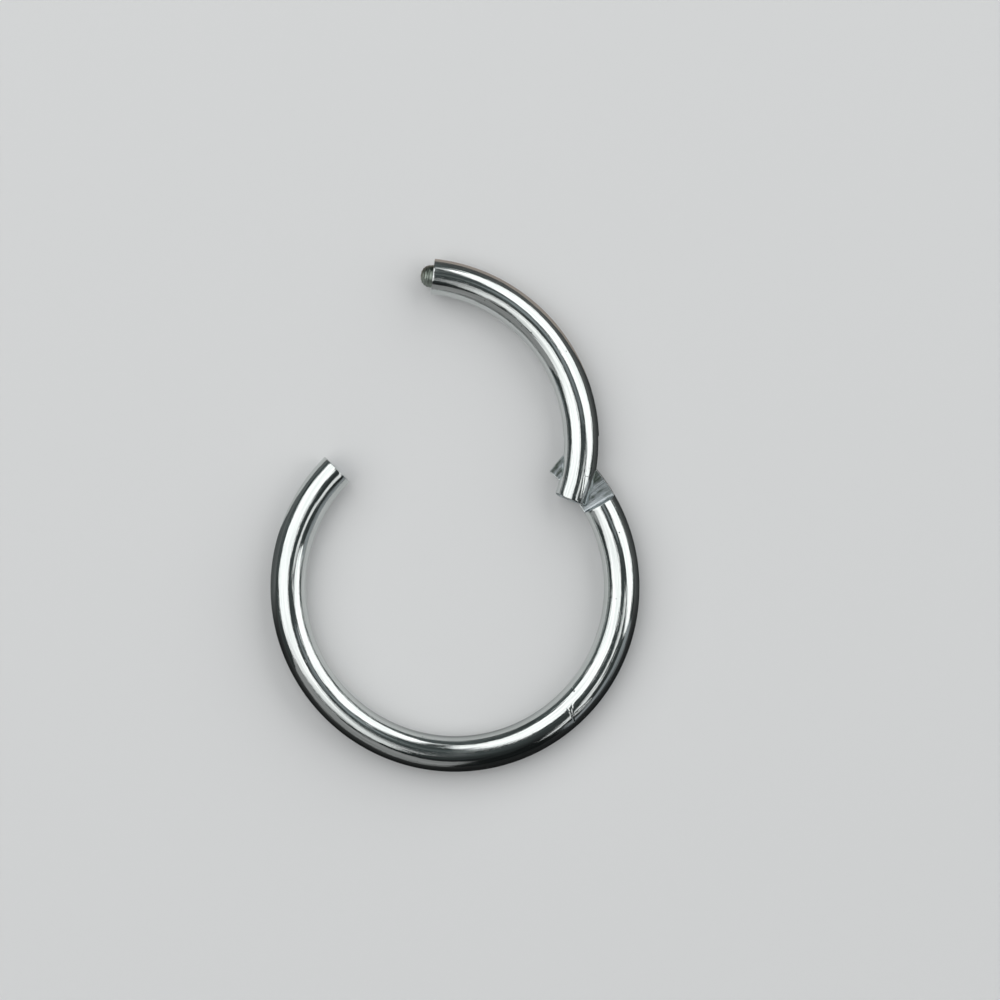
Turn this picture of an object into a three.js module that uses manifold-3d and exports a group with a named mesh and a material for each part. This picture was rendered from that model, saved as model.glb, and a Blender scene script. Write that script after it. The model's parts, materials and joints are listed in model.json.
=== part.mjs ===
// Hinged segment nose ring in polished surgical steel wire, swung open and lying flat.
//
// The ring body is round wire bent to a C. One end is a flat tongue between two cheeks that are
// cut away, and the other is a square end with a hidden socket. The segment arm is the stretch of
// wire that fills the gap: its forked end straddles the tongue and turns on a flush pin, and its
// free end carries the domed nub that clicks into the socket. Everything is drawn in the closed
// place round the ring's own centre, and then the arm is swung open about the pin.
//
// Lengths are in millimetres and angles in degrees. +Z is the ring's axis, pointing up.

import * as THREE from 'three';
import { mergeVertices } from 'three/addons/utils/BufferGeometryUtils.js';
import { ConvexGeometry } from 'three/addons/geometries/ConvexGeometry.js';
import Module from 'manifold-3d';

// Ring
const wireDiameter = 1.2;
const insideDiameter = 10;
const shoulderAngle = 30; // where the round wire stops and the tongue begins, counted from +X
const gapSpan = 104.9; // from the tongue's shoulder round to the free end
const openAngle = 50.9; // how far the arm is swung open

// Tongue, with lengths along the wire's centreline from the shoulder
const tongueLength = 2.03;
const tongueThickness = 0.32;
const shoulderSlope = 0.06; // the shoulder leans back by this much at the wire's crown

// Hinge pin
const pinDiameter = 0.3;
const pinSetback = 1.075; // from the shoulder to the pin, along the centreline
const pinWall = 0.125; // metal outside the pin's hole, at the ear's inner face
const earCorner = 0.15; // rounding of the ears' inside corner

// Nub on the arm's free end
const nubDiameter = 0.77;
const nubLength = 0.415;
const nubCollar = 0.03; // straight part below the dome

// Clearances
const cheekGap = 0.02; // between the tongue and each ear
const boreGap = 0.02; // round the pin in the tongue, where it turns
const seatGap = 0.01; // round the pin in the ears, where it is held
const slotGap = 0.2; // from the tongue's end to the root of the fork's slot
const endGap = 0.03; // between ring and arm at both ends, closed
const socketGap = 0.02; // round the nub in its socket

// Fineness of the curves
const wireSides = 24;
const arcStep = 3; // degrees along the wire
const pinSides = 24;
const nubSides = 20;
const domeRings = 5;
const cornerSteps = 6;
const mergeTolerance = 1e-5;

const { degToRad, radToDeg } = THREE.MathUtils;
const wireRadius = wireDiameter / 2;
const meanRadius = insideDiameter / 2 + wireRadius;
const clearOfWire = 2 * wireDiameter; // reach of a cut that passes right out of the wire
const angleAlong = (length) => radToDeg(length / meanRadius);

// Places along the wire, as angles round the ring's centre with the ring closed
const freeEndAngle = shoulderAngle + gapSpan;
const tongueEndAngle = shoulderAngle + angleAlong(tongueLength);
const slotRootAngle = tongueEndAngle + angleAlong(slotGap);
const tipAngle = freeEndAngle - angleAlong(endGap);

// Where the pin stands
const slotHeight = tongueThickness + 2 * cheekGap;
const earHalfWidth = Math.sqrt(wireRadius ** 2 - (slotHeight / 2) ** 2);
const seatRadius = pinDiameter / 2 + seatGap;
const pinRadialPlace = meanRadius + earHalfWidth - pinWall - seatRadius;
const pinTurn = degToRad(angleAlong(pinSetback)); // from the shoulder to the pin
const pinAngle = degToRad(shoulderAngle) + pinTurn;
const pivot = new THREE.Vector3(Math.cos(pinAngle), Math.sin(pinAngle), 0);
pivot.multiplyScalar(pinRadialPlace);

// Width of the cuts along the curved wire at the hinge, enough for its bend
const hingeCutWidth = 2 * (wireDiameter + tongueLength);

const wasm = await Module();
wasm.setup();

// Closed solid for cutting and joining, made from a geometry
function solid(geometry) {
  const bare = geometry.clone();
  bare.deleteAttribute('normal');
  bare.deleteAttribute('uv');
  const merged = mergeVertices(bare, mergeTolerance);
  const corners = merged.index.array;
  const triangles = [];
  for (let i = 0; i < corners.length; i += 3) {
    const [a, b, c] = corners.slice(i, i + 3);
    if (a !== b && b !== c && c !== a) triangles.push(a, b, c);
  }
  return new wasm.Manifold(
    new wasm.Mesh({
      numProp: 3,
      vertProperties: new Float32Array(merged.attributes.position.array),
      triVerts: Uint32Array.from(triangles),
    }),
  );
}

// Geometry for a mesh, made from a finished solid
function geometryOf(finished) {
  const mesh = finished.getMesh();
  const geometry = new THREE.BufferGeometry();
  geometry.setAttribute('position', new THREE.BufferAttribute(mesh.vertProperties, mesh.numProp));
  geometry.setIndex(new THREE.BufferAttribute(mesh.triVerts, 1));
  geometry.computeVertexNormals();
  return geometry;
}

// A stretch of the wire's centreline between two angles round the ring's centre
class WireLine extends THREE.Curve {
  constructor(from, to) {
    super();
    this.from = from;
    this.to = to;
  }

  angleAt(t) {
    return degToRad(THREE.MathUtils.lerp(this.from, this.to, t));
  }

  getPoint(t, target = new THREE.Vector3()) {
    const angle = this.angleAt(t);
    return target.set(meanRadius * Math.cos(angle), meanRadius * Math.sin(angle), 0);
  }

  getTangent(t, target = new THREE.Vector3()) {
    const angle = this.angleAt(t);
    return target.set(-Math.sin(angle), Math.cos(angle), 0);
  }
}

// Round wire between two angles, with square ends
function wire(from, to) {
  const section = new THREE.Shape().absarc(0, 0, wireRadius, 0, 2 * Math.PI);
  return solid(
    new THREE.ExtrudeGeometry(section, {
      extrudePath: new WireLine(from, to),
      steps: Math.ceil((to - from) / arcStep),
      curveSegments: wireSides / 2,
      bevelEnabled: false,
    }),
  );
}

// Moves a geometry drawn at the wire's centre to its place along the wire: x is drawn pointing
// away from the ring's centre, y along the wire and z up
function placeAlongWire(geometry, angle) {
  return geometry.translate(meanRadius, 0, 0).rotateZ(degToRad(angle));
}

// Upright prism over a plan outline, taller than the wire
function prism(plan) {
  const geometry = new THREE.ExtrudeGeometry(plan, {
    depth: clearOfWire,
    curveSegments: cornerSteps,
    bevelEnabled: false,
  });
  return geometry.translate(0, 0, -clearOfWire / 2);
}

// Upright cylinder on the hinge axis
function hingeCylinder(radius) {
  const cylinder = new THREE.CylinderGeometry(radius, radius, clearOfWire, pinSides);
  return solid(cylinder.rotateX(Math.PI / 2).translate(pivot.x, pivot.y, 0));
}

// Cheek cut away above (side 1) or below (side -1) the tongue, up to the sloping shoulder
function cheekCut(side) {
  const floor = tongueThickness / 2;
  const top = clearOfWire;
  const length = tongueLength + wireDiameter;
  const lean = (shoulderSlope * (top - floor)) / (wireRadius - floor);
  const profile = new THREE.Shape([
    new THREE.Vector2(0, side * floor),
    new THREE.Vector2(length, side * floor),
    new THREE.Vector2(length, side * top),
    new THREE.Vector2(-lean, side * top),
  ]);
  const cut = new THREE.ExtrudeGeometry(profile, { depth: hingeCutWidth, bevelEnabled: false });
  cut.translate(0, 0, -hingeCutWidth / 2);
  const along = new THREE.Vector3(0, 1, 0);
  const up = new THREE.Vector3(0, 0, 1);
  const outward = new THREE.Vector3(1, 0, 0);
  cut.applyMatrix4(new THREE.Matrix4().makeBasis(along, up, outward));
  return solid(placeAlongWire(cut, shoulderAngle));
}

// Domed nub standing on the arm's tip, grown all round by a clearance
function nub(growth = 0) {
  const radius = nubDiameter / 2 + growth;
  const domeHeight = nubLength - nubCollar;
  const profile = [new THREE.Vector2(0, -nubLength), new THREE.Vector2(radius, -nubLength)];
  for (let ring = 0; ring <= domeRings; ring += 1) {
    const rise = (ring / domeRings) * (Math.PI / 2);
    const out = ring === domeRings ? 0 : radius * Math.cos(rise);
    profile.push(new THREE.Vector2(out, nubCollar + (domeHeight + growth) * Math.sin(rise)));
  }
  return placeAlongWire(new THREE.LatheGeometry(profile, nubSides), tipAngle);
}

// Space that the nub needs as the arm's last few degrees carry it into the ring's free end
function socket() {
  const tip = new THREE.Vector3(meanRadius, 0, 0);
  tip.applyAxisAngle(new THREE.Vector3(0, 0, 1), degToRad(tipAngle));
  const sweep = (2 * nubLength) / tip.distanceTo(pivot);
  const positions = nub(socketGap).attributes.position;
  const swept = [];
  for (const share of [0, 0.5, 1]) {
    const swing = new THREE.Matrix4().makeTranslation(pivot);
    swing.multiply(new THREE.Matrix4().makeRotationZ(-sweep * share));
    swing.multiply(new THREE.Matrix4().makeTranslation(pivot.clone().negate()));
    for (let i = 0; i < positions.count; i += 1) {
      swept.push(new THREE.Vector3().fromBufferAttribute(positions, i).applyMatrix4(swing));
    }
  }
  return solid(new ConvexGeometry(swept));
}

// What is trimmed from the fork's end: square to the wire, rounded at the inside corner, and at
// the outside corner following the circle that clears the shoulder as the arm swings
function forkEndCut() {
  const far = clearOfWire;
  const pinX = pinRadialPlace * Math.cos(pinTurn) - meanRadius;
  const pinY = pinRadialPlace * Math.sin(pinTurn);
  const reach = pinY - endGap / 2;
  const innerX = earCorner - earHalfWidth;
  const plan = new THREE.Shape();
  plan.moveTo(-far, endGap + earCorner);
  plan.lineTo(-far, -far);
  plan.lineTo(far, -far);
  plan.lineTo(far, pinY);
  plan.lineTo(pinX + reach, pinY);
  plan.absarc(pinX, pinY, reach, 0, -Math.asin((pinY - endGap) / reach), true);
  plan.absarc(innerX, endGap + earCorner, earCorner, -Math.PI / 2, -Math.PI, true);
  return solid(placeAlongWire(prism(plan), shoulderAngle));
}

// Slot that the tongue runs in, open through the fork's end and both its sides
function slotCut() {
  const length = tongueLength + slotGap + wireDiameter;
  const slot = new THREE.BoxGeometry(hingeCutWidth, length, slotHeight);
  return solid(placeAlongWire(slot.translate(0, -length / 2, 0), slotRootAngle));
}

function ringBodySolid() {
  return wire(freeEndAngle, tongueEndAngle + 360)
    .subtract(cheekCut(1))
    .subtract(cheekCut(-1))
    .subtract(hingeCylinder(pinDiameter / 2 + boreGap))
    .subtract(socket());
}

function segmentArmSolid() {
  const untrimmedStart = shoulderAngle - angleAlong(wireRadius);
  return wire(untrimmedStart, tipAngle)
    .subtract(forkEndCut())
    .subtract(slotCut())
    .subtract(hingeCylinder(seatRadius))
    .add(solid(nub()));
}

// The pin is ground flush with the round of the wire at both ends
function hingePinSolid() {
  return hingeCylinder(pinDiameter / 2).intersect(wire(shoulderAngle, slotRootAngle));
}

function piece(name, finished, material) {
  const mesh = new THREE.Mesh(geometryOf(finished), new THREE.MeshStandardMaterial(material));
  mesh.name = name;
  return mesh;
}

const polished = { color: 0xcfd4d3, roughness: 0.12, metalness: 1 };
const ground = { color: 0xa9afae, roughness: 0.35, metalness: 1 };

const ringBody = piece('ring_body', ringBodySolid(), polished);
const segmentArm = piece('segment_arm', segmentArmSolid(), polished);
const hingePin = piece('hinge_pin', hingePinSolid(), ground);

// The arm and its pin turn about the pin's axis
const swing = new THREE.Group();
swing.position.copy(pivot);
swing.rotation.z = -degToRad(openAngle);
for (const mesh of [segmentArm, hingePin]) {
  mesh.position.copy(pivot).negate();
  swing.add(mesh);
}

const noseRing = new THREE.Group();
noseRing.add(ringBody, swing);

// The origin is under the middle of the whole object, on the surface that it lies on
const box = new THREE.Box3().setFromObject(noseRing, true);
const middle = box.getCenter(new THREE.Vector3());
noseRing.position.set(-middle.x, -middle.y, -box.min.z);

export default noseRing;
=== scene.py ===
# Hinged segment nose ring of polished steel wire, swung open and lying on a pale floor.
# Shapes are drawn in millimetres round the ring's own centre, with the ring closed, and then put
# into the frame in metres. Angles round the ring's axis are in degrees and count from +X. Turns
# go round the wire's section, from the outside of the ring over its top: they are in degrees in
# the tables and in radians elsewhere.

import json
import math

import bmesh
import bpy
from mathutils import Matrix, Vector


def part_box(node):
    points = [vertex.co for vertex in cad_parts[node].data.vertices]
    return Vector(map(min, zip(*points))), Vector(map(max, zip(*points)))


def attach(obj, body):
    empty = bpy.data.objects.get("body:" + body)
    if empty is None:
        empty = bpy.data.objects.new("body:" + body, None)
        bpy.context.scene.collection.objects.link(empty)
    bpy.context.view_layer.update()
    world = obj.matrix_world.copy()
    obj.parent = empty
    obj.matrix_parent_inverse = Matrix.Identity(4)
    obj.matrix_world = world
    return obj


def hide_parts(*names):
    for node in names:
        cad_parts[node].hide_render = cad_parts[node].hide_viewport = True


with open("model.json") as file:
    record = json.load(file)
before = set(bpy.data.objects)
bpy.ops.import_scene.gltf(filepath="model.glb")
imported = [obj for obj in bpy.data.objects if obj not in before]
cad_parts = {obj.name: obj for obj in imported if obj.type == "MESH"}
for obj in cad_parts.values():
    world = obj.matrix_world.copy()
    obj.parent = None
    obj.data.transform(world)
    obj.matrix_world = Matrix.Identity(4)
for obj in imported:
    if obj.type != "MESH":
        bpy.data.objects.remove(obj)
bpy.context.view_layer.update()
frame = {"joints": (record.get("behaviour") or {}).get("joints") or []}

# Sizes taken from the frame
MM = 0.001
ring_low, ring_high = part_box("ring_body")
hinge = frame["joints"][0]
WIRE_RADIUS = (ring_high.z - ring_low.z) / 2 / MM
OUTER_RADIUS = (ring_high.x - ring_low.x) / 2 / MM
MEAN_RADIUS = OUTER_RADIUS - WIRE_RADIUS
CENTRE = Vector(
    (
        (ring_low.x + ring_high.x) / 2,
        ring_low.y + OUTER_RADIUS * MM,
        (ring_low.z + ring_high.z) / 2,
    )
)
PIVOT = (Vector(hinge["pos_m"]) - CENTRE) / MM
OPEN_ANGLE = hinge["range_deg"][1]

# Places along the wire
SHOULDER_ANGLE = 30.0
FREE_END_ANGLE = 134.9
TONGUE_LENGTH = 2.03
END_GAP = 0.03
SLOT_GAP = 0.2

# Hinge
TONGUE_HALF = 0.16
SLOT_HALF = 0.18
SHOULDER_SLOPE = 0.06
SHOULDER_FILLET = 0.045
PIN_RADIUS = 0.15
PIN_HOLE_RADIUS = 0.153
TONGUE_BORE_RADIUS = 0.17
PIN_RECESS = 0.001

# Nub and socket
NUB_RADIUS = 0.385
NUB_LENGTH = 0.415
NUB_COLLAR = 0.03
NUB_FOOT = 0.03
NUB_ROOT = 0.03
NUB_RIDGES = 5
NUB_RIDGE_DEPTH = 0.012
NUB_BLUNTNESS = 0.88
SOCKET_GAP = 0.02

# Roundings of the edges
FREE_END_EDGE = 0.02
TIP_EDGE = 0.006
TONGUE_EDGE = 0.012
TONGUE_END_EDGE = 0.03
TONGUE_INSIDE_CORNER = 0.06
TONGUE_OUTSIDE_CORNER = 0.03
SHOULDER_EDGE = 0.014
SHOULDER_EDGE_FADE = 0.06  # height over the flats where that edge reaches its full size
EAR_EDGE = 0.085
EAR_INSIDE_CORNER = 0.15
EAR_CORNER_SPAN = (0.3, 0.85)  # shares of the way inwards where the ear's edge grows rounder
PIN_EDGE = 0.008

# Scratches on the ring and the crease behind the pin on the arm's ear. The columns are the angle
# and turn where each starts, the angle and turn where it ends, its half width and its depth. The
# meshes are finer between the scratched angles and turns. Past the margin round all scratches of
# a wire, in degrees, it is left smooth.
RING_SCRATCHES = (
    (312.8, 93, 312.5, 69, 0.022, 0.008),
    (312.5, 69, 311.6, 46, 0.022, 0.008),
    (314.7, 92, 312.9, 70, 0.020, 0.007),
    (313.1, 69, 320.9, 61, 0.016, 0.005),
    (313.3, 65, 320.0, 57, 0.016, 0.005),
    (319.0, 121, 314.7, 92, 0.018, 0.003),
    (320.2, 178, 319.0, 121, 0.024, 0.009),
)
ARM_SCRATCHES = ((42.5, 72, 30.3, 58.5, 0.018, 0.005),)
SCRATCHED_ANGLES = (310.8, 321.6)
SCRATCHED_TURNS = (54, 74)
SCRATCH_MARGIN = 1

# Fineness of the meshes
SECTION_SIDES = 144
ARC_STEP = 1.2
SCRATCH_ARC_STEP = 0.15
SCRATCH_TURN_STEP = 1.0
EDGE_STEPS = 5
WALL_STEPS = 8
TONGUE_STEPS = 12
CORNER_STEPS = 8
PIN_SIDES = 64
NUB_SIDES = 72
NUB_STEPS = 60
SOCKET_SIDES = 48
SOCKET_RISE_STEP = 0.06
SOCKET_SWEEP_STEP = 0.25
EDGE_BEND_STEP = 0.4
PIN_END_RINGS = (0.02, 0.25, 0.5, 0.75, 0.9)
TONGUE_EDGE_SHIFTS = (-0.03, -0.012, 0.0, 0.012, 0.03)
TURN_DIGITS = 6
SHARP_ANGLE = 28.0

# How deep a face lies under the wire's round surface before it counts as cut
CUT_DEPTH = 0.012

# Angles where the bodies have no metal, so that the places along their wires can start there
SEAMS = {"ring": 90, "arm": -90}

# Grains of the steel's noises to the millimetre, along the wire, outwards and upwards
DRAWN_LINES = (0.5, 13, 13)
SMEARS = (0.7, 1.6, 1.6)
MILL_MARKS = (14, 0.8, 3)
MOTTLE = (5, 4, 4)
TURNED_RINGS = (18, 1.2, 1.2)
DULL_PATCHES = (3, 3, 3)

# Spans of a noise's values over which a tone or the roughness goes from one end to the other
PLAIN_NOISE = (0.3, 0.7)
STRONG_NOISE = (0.35, 0.65)
SMEAR_NOISE = (0.35, 0.7)

# Polished wire
POLISHED_ROUGHNESS = (0.045, 0.11)
POLISHED_DIM = (0.53, 0.56, 0.55, 1)
POLISHED_BRIGHT = (0.68, 0.7, 0.69, 1)
POLISHED_RELIEF = 0.006
SPECKS_PER_MM = 5.0
SPECK_SIZE = 0.11
SPECK_RARITY = 0.93
SPECK_COLOR = (0.2, 0.21, 0.2, 1)

# Milled faces. The tone runs from 0, light, to 1, dark, and is the sum of those of the marks, the
# mottle and two stretches of the tongue, which are distances from the shoulder in millimetres.
MILLED_ROUGHNESS = (0.24, 0.4)
MILLED_LIGHT = (0.45, 0.49, 0.51, 1)
MILLED_DARK = (0.1, 0.12, 0.105, 1)
MILLED_RELIEF = 0.012
MARKS_TONE = (-0.6, 0.6)
MOTTLE_TONE = (-0.4, 0.5)
# The tongue's face grows darker over this stretch from the shoulder, and stays so until the end
# stretch
DARKER_STRETCH = (0.2, 0.8)
DARKER_TONE = 0.7
END_STRETCH = (1.4, 1.9)
END_TONE = -0.45

# Turned nub
TURNED_ROUGHNESS = (0.3, 0.46)
TURNED_LIGHT = (0.32, 0.36, 0.32, 1)
TURNED_DARK = (0.12, 0.14, 0.12, 1)
TURNED_RELIEF = 0.005

# Photo framing
PIXELS_PER_MM = 29.76
IMAGE_SIZE = 1000
RING_CENTRE_PIXEL = (455.0, 587.3)
CAMERA_HEIGHT = 0.26
SENSOR_WIDTH = 36.0
CLIP_START = 0.001

# How far lights stand from the frame's origin, and how high the level ones hang, in metres
LIGHT_DISTANCE = 0.3

# Level panels that make up the left softbox: spans across and along in metres, and brightness
LEFT_SOFTBOX = (
    ((-0.63, -0.05), (-0.09, 0.405), 1.5),
    ((-0.63, -0.05), (-0.18, -0.09), 1.15),
    ((-0.05, -0.021), (-0.03, 0.405), 1.5),
    ((-0.05, -0.021), (-0.12, -0.03), 0.7),
    ((-0.021, 0.006), (0.2, 0.405), 1.5),
)

# Other level panels, by the same columns. The strip light is turned in plan, in degrees.
STRIP_LIGHT = ((0.17, 0.238), (-0.42, 0.0), 1.1)
STRIP_LIGHT_ANGLE = 17
TOP_FILL = ((0.035, 0.1), (0.015, 0.12), 0.25)
TOP_FILL_COLOR = (0.88, 0.94, 1.0)

# Lights that face the frame's origin: azimuth and elevation in degrees, width and height in
# metres, and brightness
RIGHT_SOFTBOX = (31.5, 34, 0.53, 0.29, 1.55)
RIGHT_SOFTBOX_END = (77, 31, 0.1, 0.075, 0.7)
LOWER_LEFT_FILL = (238, 22, 0.36, 0.22, 0.3)
LOWER_RIGHT_FILL = (328, 11, 0.22, 0.12, 0.3)
LOWER_RIGHT_FILL_COLOR = (0.9, 0.95, 1.0)

# The dark table that the steel's outer sides mirror, and the strip of it by the arm's tip. Its
# tones change between places on the floor, in metres.
TABLE_STRIP = 0.0024
TABLE_STRIP_Y = (0.003, 0.008)
TABLE_GREY_Y = (-0.0042, -0.0027)
TABLE_EAST_X = (-0.002, 0.002)
TABLE_EAST_SHARE = 0.3
TABLE_DARK = (0.012, 0.013, 0.013, 1)
TABLE_GREY = (0.11, 0.12, 0.12, 1)
TABLE_WARM = (0.45, 0.39, 0.35, 1)

# The floor, in metres, and the shade that the steel mirrors inside the ring's lowest part
FLOOR_SIZE = 6
FLOOR_ROUGHNESS = 0.6
FLOOR_SPECULAR = 0.2
FLOOR_PALE = (0.72, 0.73, 0.73, 1)
FLOOR_SHADED = (0.3, 0.31, 0.31, 1)
FLOOR_SHADED_Y = (-0.0072, -0.0052)

# The light from all round on the floor, and the room in the steel, from its south to its north
AMBIENT = (0.14, 0.142, 0.145, 1)
ROOM_DARK = (0.012, 0.014, 0.014, 1)
ROOM_GREY = (0.09, 0.105, 0.105, 1)
ROOM_DEPTH = (-0.75, 0.3)
ROOM_GRAINS = (5, 5, 5)
ROOM_CLUTTER = (0.6, 1.4)

UP = Vector((0, 0, 1))


def angle_along(length):
    return math.degrees(length / MEAN_RADIUS)


TONGUE_END_ANGLE = SHOULDER_ANGLE + angle_along(TONGUE_LENGTH)
SLOT_ROOT_ANGLE = TONGUE_END_ANGLE + angle_along(SLOT_GAP)
TIP_ANGLE = FREE_END_ANGLE - angle_along(END_GAP)
EAR_END_ANGLE = SHOULDER_ANGLE + angle_along(END_GAP)
OPENING = (
    Matrix.Translation(PIVOT)
    @ Matrix.Rotation(-math.radians(OPEN_ANGLE), 4, "Z")
    @ Matrix.Translation(-PIVOT)
)


def smoothstep(low, high, value):
    share = min(1.0, max(0.0, (value - low) / (high - low)))
    return share * share * (3 - 2 * share)


def spaced(start, end, step):
    """Evenly spaced values from start to end, at most a step apart."""
    count = math.ceil((end - start) / step)
    return [start + (end - start) * i / count for i in range(count + 1)]


# Mesh helpers


def circle(sides):
    """Evenly spaced turns all the way round, in radians."""
    return [2 * math.pi * i / sides for i in range(sides)]


def quarter(steps):
    """Evenly spaced bends of a rounded edge, from 0 to a right angle, in radians."""
    return [step / steps * math.pi / 2 for step in range(steps + 1)]


def section_turns():
    """Turns round the wire's section, in radians, closer at the tongue's edges and scratches."""
    edge = math.asin(TONGUE_HALF / WIRE_RADIUS)
    turns = circle(SECTION_SIDES)
    for corner in (edge, math.pi - edge, math.pi + edge, 2 * math.pi - edge):
        turns += [corner + shift for shift in TONGUE_EDGE_SHIFTS]
    turns += [math.radians(turn) for turn in spaced(*SCRATCHED_TURNS, SCRATCH_TURN_STEP)]
    return sorted({round(turn, TURN_DIGITS) for turn in turns})


TURNS = section_turns()


def wire_point(angle, along, out, up):
    """A point at an angle round the ring, moved along the wire, out from its centreline and up."""
    radius = MEAN_RADIUS + out
    turn = math.radians(angle) + along / MEAN_RADIUS
    return Vector((radius * math.cos(turn), radius * math.sin(turn), up))


def tangent(angle):
    turn = math.radians(angle)
    return Vector((-math.sin(turn), math.cos(turn), 0))


def loft(name, rings):
    """Closed mesh through rings of as many points each, with a flat cap at both ends."""
    mesh = bpy.data.meshes.new(name)
    count = len(rings[0])
    points = [point for ring in rings for point in ring]
    faces = [tuple(reversed(range(count)))]
    for row in range(len(rings) - 1):
        for i in range(count):
            j = (i + 1) % count
            low, high = row * count, (row + 1) * count
            faces.append((low + i, low + j, high + j, high + i))
    last = (len(rings) - 1) * count
    faces.append(tuple(range(last, last + count)))
    mesh.from_pydata([tuple(p) for p in points], [], faces)
    return outward(mesh)


def outward(mesh):
    """Turns every face of a closed mesh outward."""
    shape = bmesh.new()
    shape.from_mesh(mesh)
    bmesh.ops.recalc_face_normals(shape, faces=shape.faces)
    if shape.calc_volume(signed=True) < 0:
        bmesh.ops.reverse_faces(shape, faces=shape.faces)
    shape.to_mesh(mesh)
    shape.free()
    return mesh


def new_object(name, mesh):
    piece = bpy.data.objects.new(name, mesh)
    bpy.context.scene.collection.objects.link(piece)
    return piece


def cut(mesh, *cutters):
    """The mesh less each cutter."""
    for cutter in cutters:
        target = new_object("cut_target", mesh)
        tool = new_object("cut_tool", cutter)
        modifier = target.modifiers.new("cut", "BOOLEAN")
        modifier.operation = "DIFFERENCE"
        modifier.solver = "EXACT"
        modifier.object = tool
        bpy.context.view_layer.update()
        depsgraph = bpy.context.evaluated_depsgraph_get()
        result = bpy.data.meshes.new_from_object(target.evaluated_get(depsgraph))
        bpy.data.objects.remove(target)
        bpy.data.objects.remove(tool)
        mesh = result
    return mesh


def hinge_cylinder(radius):
    """Upright cylinder on the hinge axis, taller than the wire."""
    rings = []
    for level in (-2 * WIRE_RADIUS, 2 * WIRE_RADIUS):
        rings.append(
            [
                PIVOT + Vector((radius * math.cos(t), radius * math.sin(t), level))
                for t in circle(PIN_SIDES)
            ]
        )
    return loft("hinge_cylinder", rings)


# Wire


def scratch_depth(scratches, angle, turn):
    """How far a scratch lies below the wire's round surface at a place."""
    here = Vector((MEAN_RADIUS * math.radians(angle), WIRE_RADIUS * turn))
    deepest = 0.0
    for angle_a, turn_a, angle_b, turn_b, half_width, depth in scratches:
        start = Vector((MEAN_RADIUS * math.radians(angle_a), WIRE_RADIUS * math.radians(turn_a)))
        end = Vector((MEAN_RADIUS * math.radians(angle_b), WIRE_RADIUS * math.radians(turn_b)))
        run = end - start
        share = min(1.0, max(0.0, (here - start).dot(run) / run.length_squared))
        distance = (here - start - run * share).length
        deepest = max(deepest, depth * math.exp(-((distance / half_width) ** 2)))
    return deepest


def round_wire(angles, scratches):
    """Rings of round wire at some angles, without its two ends."""
    low = min(min(row[0], row[2]) for row in scratches) - SCRATCH_MARGIN
    high = max(max(row[0], row[2]) for row in scratches) + SCRATCH_MARGIN
    rings = []
    for angle in angles:
        scratched = low < angle < high
        ring = []
        for turn in TURNS:
            depth = scratch_depth(scratches, angle, turn) if scratched else 0.0
            radius = WIRE_RADIUS - depth
            ring.append(wire_point(angle, 0, radius * math.cos(turn), radius * math.sin(turn)))
        rings.append(ring)
    return rings


def rounded_end(angle, side, edge):
    """Rings of a rounded square end, from the wire to the cap. The edge is a size at each turn."""
    rings = []
    for bend in quarter(EDGE_STEPS):
        ring = []
        for turn in TURNS:
            size = edge(turn)
            along = side * size * (math.sin(bend) - 1)
            radius = WIRE_RADIUS - size * (1 - math.cos(bend))
            ring.append(wire_point(angle, along, radius * math.cos(turn), radius * math.sin(turn)))
        rings.append(ring)
    return rings


# Ring body


def flattened(up, half, softness):
    """Height of a point of the round section once the tongue's flats are cut, with soft edges."""
    height = abs(up)
    flat = (height + half - math.hypot(height - half, softness)) / 2
    return math.copysign(flat, up)


def corner_inset(along, corner):
    """How far a rounded corner of the tongue's end draws in its side."""
    past = max(0.0, along - (TONGUE_LENGTH - corner))
    return corner - math.sqrt(corner**2 - min(past, corner) ** 2)


def tongue_ring(along, shrink):
    """Ring of the tongue at a distance from the shoulder."""
    ring = []
    radius = WIRE_RADIUS - shrink
    outside = 1 - corner_inset(along, TONGUE_OUTSIDE_CORNER) / WIRE_RADIUS
    inside = 1 - corner_inset(along, TONGUE_INSIDE_CORNER) / WIRE_RADIUS
    for turn in TURNS:
        up = flattened(radius * math.sin(turn), TONGUE_HALF - shrink, TONGUE_EDGE)
        out = radius * math.cos(turn)
        out *= outside if out > 0 else inside
        ring.append(wire_point(SHOULDER_ANGLE, along, out, up))
    return ring


def tongue_rings():
    """Rings from the shoulder's foot to the tongue's rounded end."""
    corner_start = TONGUE_LENGTH - TONGUE_INSIDE_CORNER
    places = spaced(SHOULDER_FILLET, corner_start, corner_start / TONGUE_STEPS)[1:]
    for bend in quarter(CORNER_STEPS)[1:-1]:
        places.append(corner_start + (TONGUE_INSIDE_CORNER - TONGUE_END_EDGE) * math.sin(bend))
    rings = [tongue_ring(along, 0) for along in places]
    for bend in quarter(EDGE_STEPS):
        along = TONGUE_LENGTH - TONGUE_END_EDGE * (1 - math.sin(bend))
        rings.append(tongue_ring(along, TONGUE_END_EDGE * (1 - math.cos(bend))))
    return rings


def shoulder_wall_top(up):
    """Where the shoulder's leaning wall meets the wire's surface at a height."""
    share = max(0.0, abs(up) - TONGUE_HALF) / (WIRE_RADIUS - TONGUE_HALF)
    return -SHOULDER_SLOPE * share


def shoulder_edge(up):
    """Size of the shoulder's crown edge at a height."""
    return SHOULDER_EDGE * smoothstep(TONGUE_HALF, TONGUE_HALF + SHOULDER_EDGE_FADE, abs(up))


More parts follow.
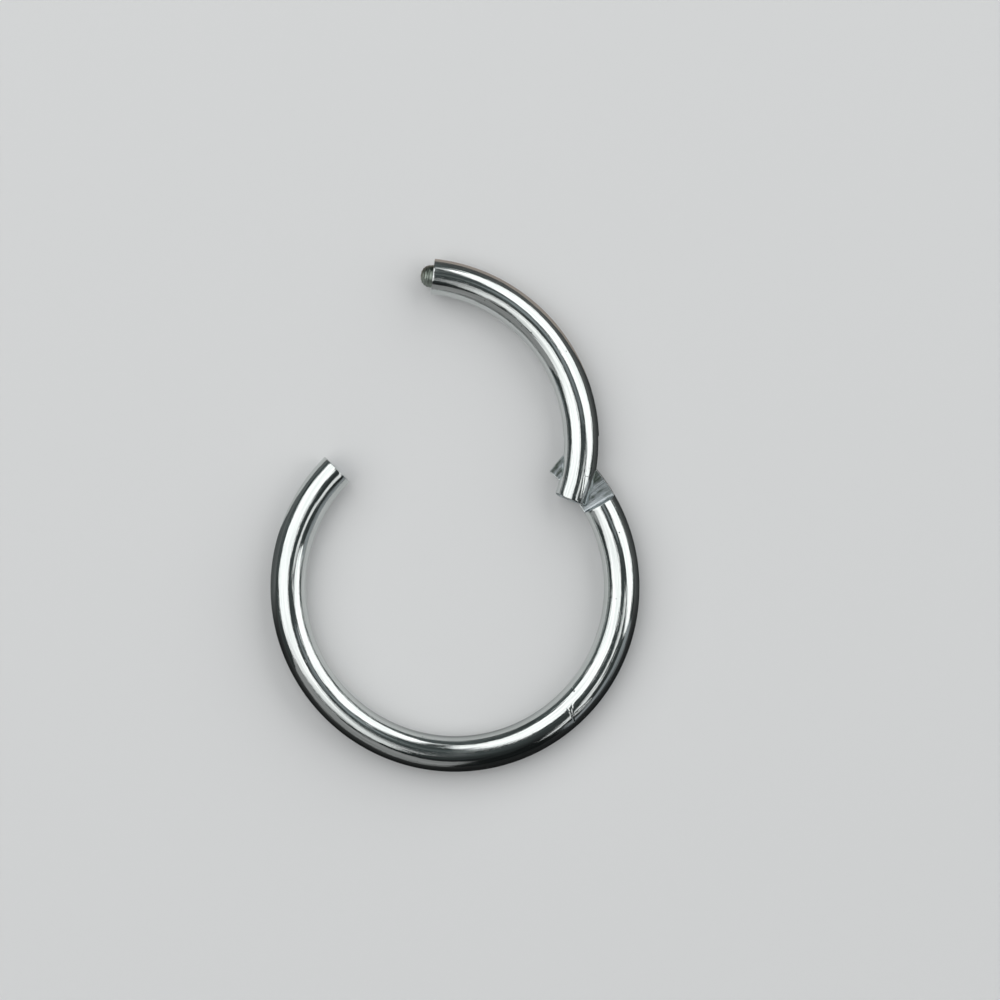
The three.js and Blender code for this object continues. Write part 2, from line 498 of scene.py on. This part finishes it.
def shoulder_rings():
    """Rings over the shoulder's rounded crown edge and down its hollow wall to the flats."""
    rings = []
    for bend in quarter(EDGE_STEPS):
        ring = []
        for turn in TURNS:
            up = WIRE_RADIUS * math.sin(turn)
            size = shoulder_edge(up)
            along = shoulder_wall_top(up) - size * (1 - math.sin(bend))
            radius = WIRE_RADIUS - size * (1 - math.cos(bend))
            out = radius * math.cos(turn)
            ring.append(wire_point(SHOULDER_ANGLE, along, out, radius * math.sin(turn)))
        rings.append(ring)
    for step, bend in enumerate(quarter(WALL_STEPS)[1:], start=1):
        ring = []
        for turn in TURNS:
            full = WIRE_RADIUS * math.sin(turn)
            size = shoulder_edge(full)
            top = (WIRE_RADIUS - size) * math.sin(turn)
            low = flattened(full, TONGUE_HALF, TONGUE_EDGE)
            start = shoulder_wall_top(full)
            along = start + (SHOULDER_FILLET - start) * (1 - math.cos(bend))
            up = top + (low - top) * math.sin(bend)
            out = math.cos(turn) * (WIRE_RADIUS - size * (1 - step / WALL_STEPS))
            ring.append(wire_point(SHOULDER_ANGLE, along, out, up))
        rings.append(ring)
    return rings


def nub_rings(profile, sides):
    """Rings of the nub in its closed place on the arm's tip, from its (radius, height) outline."""
    outwards = wire_point(TIP_ANGLE, 0, 0, 0).normalized()
    rings = []
    for radius, height in profile:
        foot = outwards * MEAN_RADIUS + tangent(TIP_ANGLE) * height
        rings.append(
            [
                foot + outwards * (radius * math.cos(t)) + UP * (radius * math.sin(t))
                for t in circle(sides)
            ]
        )
    return rings


def nub_clearance_profile():
    """Outline of the nub, grown by its clearance in the socket."""
    radius = NUB_RADIUS + SOCKET_GAP
    height = NUB_LENGTH - NUB_COLLAR + SOCKET_GAP
    points = [(radius, -NUB_LENGTH)]
    for rise in spaced(0, math.pi / 2, SOCKET_RISE_STEP)[:-1]:
        points.append((radius * math.cos(rise), NUB_COLLAR + height * math.sin(rise)))
    return points


def socket_cutter():
    """Room that the nub sweeps through as the arm closes, as one convex shape."""
    shape = bmesh.new()
    tip = wire_point(TIP_ANGLE, 0, 0, 0)
    sweep = 2 * NUB_LENGTH / (tip - PIVOT).length
    rings = nub_rings(nub_clearance_profile(), SOCKET_SIDES)
    for share in spaced(0, 1, SOCKET_SWEEP_STEP):
        swing = Matrix.Rotation(-sweep * share, 4, "Z")
        for ring in rings:
            for point in ring:
                shape.verts.new(PIVOT + swing @ (point - PIVOT))
    hull = bmesh.ops.convex_hull(shape, input=shape.verts)
    spare = set(hull["geom_interior"] + hull["geom_unused"])
    spare = [item for item in spare if isinstance(item, bmesh.types.BMVert)]
    bmesh.ops.delete(shape, geom=spare, context="VERTS")
    mesh = bpy.data.meshes.new("socket")
    shape.to_mesh(mesh)
    shape.free()
    return outward(mesh)


def ring_body_mesh():
    start = FREE_END_ANGLE + angle_along(FREE_END_EDGE) + ARC_STEP / 2
    end = SHOULDER_ANGLE + 360 - angle_along(SHOULDER_SLOPE + SHOULDER_EDGE) - ARC_STEP / 2
    angles = spaced(start, SCRATCHED_ANGLES[0], ARC_STEP)
    angles += spaced(*SCRATCHED_ANGLES, SCRATCH_ARC_STEP)[1:]
    angles += spaced(SCRATCHED_ANGLES[1], end, ARC_STEP)[1:]
    rings = rounded_end(FREE_END_ANGLE, -1, lambda turn: FREE_END_EDGE)[::-1]
    rings += round_wire(angles, RING_SCRATCHES)
    rings += shoulder_rings()
    rings += tongue_rings()
    return cut(loft("ring_body", rings), hinge_cylinder(TONGUE_BORE_RADIUS), socket_cutter())


# Segment arm


def ear_edge(turn):
    """Rounding of the fork's end: a soft crown edge and a rounder inside corner."""
    inside = smoothstep(*EAR_CORNER_SPAN, -math.cos(turn))
    return EAR_EDGE + (EAR_INSIDE_CORNER - EAR_EDGE) * inside


def slot_cutter():
    """Slot that the tongue runs in, open through the fork's end and both its sides."""
    length = TONGUE_LENGTH + SLOT_GAP + 2 * WIRE_RADIUS
    side = TONGUE_LENGTH + 2 * WIRE_RADIUS
    foot = wire_point(SLOT_ROOT_ANGLE, 0, 0, 0)
    back = -tangent(SLOT_ROOT_ANGLE) * length
    outwards = foot.normalized() * side
    rings = []
    for level in (-SLOT_HALF, SLOT_HALF):
        inner = foot + UP * level - outwards
        outer = foot + UP * level + outwards
        rings.append([inner, outer, outer + back, inner + back])
    return loft("slot", rings)


def segment_arm_mesh():
    start = EAR_END_ANGLE + angle_along(EAR_INSIDE_CORNER) + ARC_STEP / 2
    end = TIP_ANGLE - angle_along(TIP_EDGE) - ARC_STEP / 2
    rings = rounded_end(EAR_END_ANGLE, -1, ear_edge)[::-1]
    rings += round_wire(spaced(start, end, ARC_STEP), ARM_SCRATCHES)
    rings += rounded_end(TIP_ANGLE, 1, lambda turn: TIP_EDGE)
    return cut(loft("segment_arm", rings), slot_cutter(), hinge_cylinder(PIN_HOLE_RADIUS))


def latch_nub_mesh():
    """Nub with a small fillet at its foot and the ridges left by turning."""
    profile = [(NUB_RADIUS + NUB_FOOT, -NUB_ROOT)]
    for bend in spaced(0, math.pi / 2, EDGE_BEND_STEP):
        radius = NUB_RADIUS + NUB_FOOT * (1 - math.sin(bend))
        profile.append((radius, NUB_FOOT * (1 - math.cos(bend))))
    for step in range(1, NUB_STEPS):
        share = step / NUB_STEPS
        rise = share * math.pi / 2
        ridge = NUB_RIDGE_DEPTH * (1 - math.cos(2 * math.pi * NUB_RIDGES * share)) / 2
        size = 1 - ridge / NUB_RADIUS
        height = NUB_COLLAR + (NUB_LENGTH - NUB_COLLAR) * size * math.sin(rise) ** NUB_BLUNTNESS
        profile.append((NUB_RADIUS * size * math.cos(rise) ** NUB_BLUNTNESS, height))
    return loft("latch_nub", nub_rings(profile, NUB_SIDES))


# Hinge pin


def surface_height(point):
    """Height of the round wire's surface over a point in plan."""
    out = math.hypot(point.x, point.y) - MEAN_RADIUS
    return math.sqrt(max(0.0, WIRE_RADIUS**2 - out**2))


def hinge_pin_mesh():
    """Pin whose two ends follow the round of the wire, a hair below its surface."""
    outline = [((PIN_RADIUS - PIN_EDGE) * share, 0.0) for share in PIN_END_RINGS]
    for bend in spaced(0, math.pi / 2, EDGE_BEND_STEP):
        radius = PIN_RADIUS - PIN_EDGE * (1 - math.sin(bend))
        outline.append((radius, PIN_EDGE * (1 - math.cos(bend))))
    top = []
    for radius, fall in outline:
        ring = []
        for turn in circle(PIN_SIDES):
            point = PIVOT + Vector((radius * math.cos(turn), radius * math.sin(turn), 0))
            point.z = surface_height(point) - PIN_RECESS - fall
            ring.append(point)
        top.append(ring)
    bottom = [[Vector((p.x, p.y, -p.z)) for p in ring] for ring in reversed(top)]
    return loft("hinge_pin", top + bottom)


# Materials


def add_node(tree, kind, settings=None, **inputs):
    """Adds a shader node. Each input is a plain value or another node's output."""
    made = tree.nodes.new(kind)
    for name, value in (settings or {}).items():
        setattr(made, name, value)
    for name, value in inputs.items():
        feed(tree, made.inputs[name.replace("_", " ")], value)
    return made


def feed(tree, socket, value):
    if isinstance(value, bpy.types.NodeSocket):
        tree.links.new(value, socket)
    else:
        socket.default_value = value


def calculate(tree, operation, first, second):
    made = add_node(tree, "ShaderNodeMath", {"operation": operation})
    feed(tree, made.inputs[0], first)
    feed(tree, made.inputs[1], second)
    return made.outputs[0]


def steel(name):
    """A new metal material: its node tree, its shader and each point's place on the wire."""
    material = bpy.data.materials.new(name)
    material.use_nodes = True
    tree = material.node_tree
    shader = tree.nodes["Principled BSDF"]
    shader.inputs["Metallic"].default_value = 1
    place = add_node(tree, "ShaderNodeAttribute", {"attribute_name": "wire_place"})
    return material, tree, shader, place.outputs["Vector"]


def noise(tree, place, per_mm, detail):
    """Noise with so many grains to the millimetre along the wire, outwards and upwards."""
    scaled = add_node(tree, "ShaderNodeVectorMath", {"operation": "MULTIPLY"})
    feed(tree, scaled.inputs[0], place)
    feed(tree, scaled.inputs[1], per_mm)
    texture = add_node(
        tree, "ShaderNodeTexNoise", Vector=scaled.outputs[0], Scale=1.0, Detail=detail
    )
    return texture.outputs["Fac"]


def mapped(tree, value, low, high, to_low, to_high):
    made = add_node(tree, "ShaderNodeMapRange", Value=value)
    made.inputs["From Min"].default_value = low
    made.inputs["From Max"].default_value = high
    made.inputs["To Min"].default_value = to_low
    made.inputs["To Max"].default_value = to_high
    return made.outputs["Result"]


def blended(tree, share, first, second):
    """Colour that runs from the first to the second."""
    made = add_node(tree, "ShaderNodeMix", {"data_type": "RGBA"})
    colors = [socket for socket in made.inputs if socket.type == "RGBA"]
    result = [socket for socket in made.outputs if socket.type == "RGBA"][0]
    feed(tree, made.inputs[0], share)
    feed(tree, colors[0], first)
    feed(tree, colors[1], second)
    return result


def specks(tree, place):
    """1 on rare small round specks, 0 elsewhere."""
    cells = add_node(tree, "ShaderNodeTexVoronoi", Vector=place, Scale=SPECKS_PER_MM)
    picked = add_node(tree, "ShaderNodeSeparateColor", Color=cells.outputs["Color"])
    near = calculate(tree, "LESS_THAN", cells.outputs["Distance"], SPECK_SIZE)
    rare = calculate(tree, "GREATER_THAN", picked.outputs["Red"], SPECK_RARITY)
    return calculate(tree, "MULTIPLY", near, rare)


def bumped(tree, shader, height, relief_mm):
    bump = add_node(tree, "ShaderNodeBump", Strength=1.0, Distance=relief_mm * MM, Height=height)
    tree.links.new(bump.outputs["Normal"], shader.inputs["Normal"])


def polished_steel():
    """Drawn and polished wire: fine lines along it, faint smears and rare specks."""
    material, tree, shader, place = steel("polished_steel")
    lines = noise(tree, place, DRAWN_LINES, detail=5)
    smears = noise(tree, place, SMEARS, detail=3)
    pits = specks(tree, place)
    shine = mapped(tree, smears, *SMEAR_NOISE, *POLISHED_ROUGHNESS)
    feed(tree, shader.inputs["Roughness"], calculate(tree, "MAXIMUM", shine, pits))
    tone = mapped(tree, lines, *PLAIN_NOISE, 0, 1)
    clean = blended(tree, tone, POLISHED_DIM, POLISHED_BRIGHT)
    feed(tree, shader.inputs["Base Color"], blended(tree, pits, clean, SPECK_COLOR))
    bumped(tree, shader, lines, POLISHED_RELIEF)
    return material


def milled_steel():
    """Cut faces: mill marks across the wire, mottled, and darkest halfway along the tongue."""
    material, tree, shader, place = steel("milled_steel")
    marks = noise(tree, place, MILL_MARKS, detail=6)
    mottle = noise(tree, place, MOTTLE, detail=5)
    along = add_node(tree, "ShaderNodeSeparateXYZ", Vector=place).outputs["X"]
    shoulder = MEAN_RADIUS * math.radians(SHOULDER_ANGLE + 360)
    tone = mapped(tree, marks, *STRONG_NOISE, *MARKS_TONE)
    for stretch, full in ((DARKER_STRETCH, DARKER_TONE), (END_STRETCH, END_TONE)):
        more = mapped(tree, along, shoulder + stretch[0], shoulder + stretch[1], 0, full)
        tone = calculate(tree, "ADD", tone, more)
    tone = calculate(tree, "ADD", tone, mapped(tree, mottle, *STRONG_NOISE, *MOTTLE_TONE))
    feed(tree, shader.inputs["Base Color"], blended(tree, tone, MILLED_LIGHT, MILLED_DARK))
    roughness = mapped(tree, marks, *PLAIN_NOISE, *MILLED_ROUGHNESS)
    feed(tree, shader.inputs["Roughness"], roughness)
    bumped(tree, shader, marks, MILLED_RELIEF)
    return material


def turned_steel():
    """The nub: fine rings left by turning, and dull patches."""
    material, tree, shader, place = steel("turned_steel")
    rings = noise(tree, place, TURNED_RINGS, detail=4)
    patches = noise(tree, place, DULL_PATCHES, detail=4)
    tone = mapped(tree, patches, *STRONG_NOISE, 0, 1)
    feed(tree, shader.inputs["Base Color"], blended(tree, tone, TURNED_LIGHT, TURNED_DARK))
    roughness = mapped(tree, rings, *PLAIN_NOISE, *TURNED_ROUGHNESS)
    feed(tree, shader.inputs["Roughness"], roughness)
    bumped(tree, shader, rings, TURNED_RELIEF)
    return material


# Pieces


def mark_places(mesh, seam):
    """Keeps each point's place on the straightened wire: along from +X, out and up."""
    places = mesh.attributes.new("wire_place", "FLOAT_VECTOR", "POINT")
    for vertex, place in zip(mesh.vertices, places.data):
        x, y, z = vertex.co
        angle = math.atan2(y, x)
        if angle < math.radians(seam):
            angle += 2 * math.pi
        place.vector = (MEAN_RADIUS * angle, math.hypot(x, y) - MEAN_RADIUS, z)


def is_cut(face):
    """True for faces well inside the round wire's surface."""
    out = math.hypot(face.center.x, face.center.y) - MEAN_RADIUS
    return math.hypot(out, face.center.z) < WIRE_RADIUS - CUT_DEPTH


def finish(name, mesh, node, skin, cut_skin=None):
    """Puts a mesh into the frame as a piece that stands for a CAD node."""
    body = "ring" if node == "ring_body" else "arm"
    mark_places(mesh, SEAMS[body])
    mesh.materials.clear()
    mesh.materials.append(skin)
    if cut_skin:
        mesh.materials.append(cut_skin)
    for face in mesh.polygons:
        face.material_index = 1 if cut_skin and is_cut(face) else 0
        face.use_smooth = True
    if body == "arm":
        mesh.transform(OPENING)
    mesh.transform(Matrix.Translation(CENTRE) @ Matrix.Scale(MM, 4))
    mesh.set_sharp_from_angle(angle=math.radians(SHARP_ANGLE))
    piece = new_object(name, mesh)
    weights = piece.modifiers.new("weighted_normals", "WEIGHTED_NORMAL")
    weights.keep_sharp = True
    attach(piece, body)
    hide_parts(node)


polished = polished_steel()
milled = milled_steel()
turned = turned_steel()

finish("ring_wire", ring_body_mesh(), "ring_body", polished, milled)
finish("arm_wire", segment_arm_mesh(), "segment_arm", polished, milled)
finish("latch_nub", latch_nub_mesh(), "segment_arm", turned)
finish("pin_rivet", hinge_pin_mesh(), "hinge_pin", polished)


# Studio


def distance_from(tree, place, middle):
    """Distance from a place to the middle of an arc."""
    made = add_node(tree, "ShaderNodeVectorMath", {"operation": "DISTANCE"})
    feed(tree, made.inputs[0], place)
    feed(tree, made.inputs[1], middle)
    return made.outputs["Value"]


def floor_material():
    """Pale floor, which shows dark in the steel's outer sides, as a polished table does."""
    material = bpy.data.materials.new("pale_floor")
    material.use_nodes = True
    tree = material.node_tree
    shader = tree.nodes["Principled BSDF"]
    shader.inputs["Roughness"].default_value = FLOOR_ROUGHNESS
    shader.inputs["Specular IOR Level"].default_value = FLOOR_SPECULAR
    place = add_node(tree, "ShaderNodeNewGeometry").outputs["Position"]
    plan = add_node(tree, "ShaderNodeSeparateXYZ", Vector=place).outputs
    mirrored = add_node(tree, "ShaderNodeLightPath").outputs["Is Glossy Ray"]
    radius = MEAN_RADIUS * MM
    from_ring = distance_from(tree, place, CENTRE)
    from_arm = distance_from(tree, place, CENTRE + OPENING.translation * MM)
    outside = mirrored
    for distance in (from_ring, from_arm):
        beyond = calculate(tree, "GREATER_THAN", distance, radius)
        outside = calculate(tree, "MULTIPLY", outside, beyond)
    reach = mapped(tree, plan["Y"], *TABLE_STRIP_Y, radius, radius + TABLE_STRIP)
    strip = calculate(tree, "LESS_THAN", from_arm, reach)
    west = mapped(tree, plan["X"], *TABLE_EAST_X, 1, TABLE_EAST_SHARE)
    grey = calculate(tree, "MULTIPLY", mapped(tree, plan["Y"], *TABLE_GREY_Y, 0, 1), west)
    table = blended(tree, grey, TABLE_DARK, TABLE_GREY)
    table = blended(tree, strip, table, TABLE_WARM)
    shade = calculate(tree, "MULTIPLY", mirrored, mapped(tree, plan["Y"], *FLOOR_SHADED_Y, 1, 0))
    pale = blended(tree, shade, FLOOR_PALE, FLOOR_SHADED)
    feed(tree, shader.inputs["Base Color"], blended(tree, outside, pale, table))
    return material


def pale_floor():
    bpy.ops.mesh.primitive_plane_add(size=FLOOR_SIZE, location=(0, 0, 0))
    floor = bpy.context.object
    floor.name = "floor"
    floor.data.materials.append(floor_material())


def panel(name, placing, width, height, radiance, color=(1, 1, 1), oval=False):
    """Flat soft light that shines down the Z of its placing, with its brightness as seen."""
    light = bpy.data.lights.new(name, "AREA")
    light.shape = "ELLIPSE" if oval else "RECTANGLE"
    light.size = width
    light.size_y = height
    light.energy = radiance * math.pi * width * height * (math.pi / 4 if oval else 1)
    light.color = color
    lamp = bpy.data.objects.new(name, light)
    lamp.matrix_world = placing
    bpy.context.scene.collection.objects.link(lamp)


def softbox(name, azimuth, elevation, width, height, radiance, **more):
    """Panel that faces the frame's origin from a direction."""
    turn, rise = math.radians(azimuth), math.radians(elevation)
    flat = math.cos(rise)
    away = Vector((flat * math.cos(turn), flat * math.sin(turn), math.sin(rise)))
    turned = away.to_track_quat("Z", "Y").to_matrix().to_4x4()
    placing = Matrix.Translation(away * LIGHT_DISTANCE) @ turned
    panel(name, placing, width, height, radiance, **more)


def overhead(name, x_span, y_span, radiance, angle=0, **more):
    """Level panel over the ring, by its spans across and along, turned in plan by an angle."""
    middle = Vector((sum(x_span) / 2, sum(y_span) / 2, LIGHT_DISTANCE))
    width, length = x_span[1] - x_span[0], y_span[1] - y_span[0]
    placing = Matrix.Translation(middle) @ Matrix.Rotation(math.radians(angle), 4, "Z")
    panel(name, placing, width, length, radiance, **more)


def studio_world():
    """Even pale light on the floor, and a dim uneven room in the steel, darkest to the south."""
    world = bpy.data.worlds.new("studio")
    world.use_nodes = True
    tree = world.node_tree
    direction = add_node(tree, "ShaderNodeTexCoord").outputs["Generated"]
    depth = add_node(tree, "ShaderNodeSeparateXYZ", Vector=direction).outputs["Y"]
    back = mapped(tree, depth, *ROOM_DEPTH, 0, 1)
    room = blended(tree, back, ROOM_DARK, ROOM_GREY)
    path = add_node(tree, "ShaderNodeLightPath")
    color = blended(tree, path.outputs["Is Glossy Ray"], AMBIENT, room)
    feed(tree, tree.nodes["Background"].inputs["Color"], color)
    clutter = noise(tree, direction, ROOM_GRAINS, detail=3)
    clutter = mapped(tree, clutter, *STRONG_NOISE, *ROOM_CLUTTER)
    feed(tree, tree.nodes["Background"].inputs["Strength"], clutter)
    bpy.context.scene.world = world


def photo_camera():
    """Camera that looks straight down, with the ring at its place in the photo."""
    data = bpy.data.cameras.new("camera")
    camera = bpy.data.objects.new("camera", data)
    bpy.context.scene.collection.objects.link(camera)
    middle = IMAGE_SIZE / 2
    right = (middle - RING_CENTRE_PIXEL[0]) / PIXELS_PER_MM * MM
    up = (RING_CENTRE_PIXEL[1] - middle) / PIXELS_PER_MM * MM
    camera.location = CENTRE + Vector((right, up, CAMERA_HEIGHT))
    data.sensor_width = SENSOR_WIDTH
    data.sensor_fit = "HORIZONTAL"
    data.lens = SENSOR_WIDTH * CAMERA_HEIGHT / (IMAGE_SIZE / PIXELS_PER_MM * MM)
    data.clip_start = CLIP_START
    bpy.context.scene.camera = camera


pale_floor()
studio_world()
for number, row in enumerate(LEFT_SOFTBOX):
    overhead(f"left_softbox_{number}", *row)
softbox("right_softbox", *RIGHT_SOFTBOX, oval=True)
softbox("right_softbox_end", *RIGHT_SOFTBOX_END, oval=True)
overhead("strip_light", *STRIP_LIGHT, angle=STRIP_LIGHT_ANGLE)
softbox("lower_left_fill", *LOWER_LEFT_FILL)
softbox("lower_right_fill", *LOWER_RIGHT_FILL, color=LOWER_RIGHT_FILL_COLOR)
overhead("top_fill", *TOP_FILL, color=TOP_FILL_COLOR)
photo_camera()
bpy.context.scene.view_settings.view_transform = "Standard"
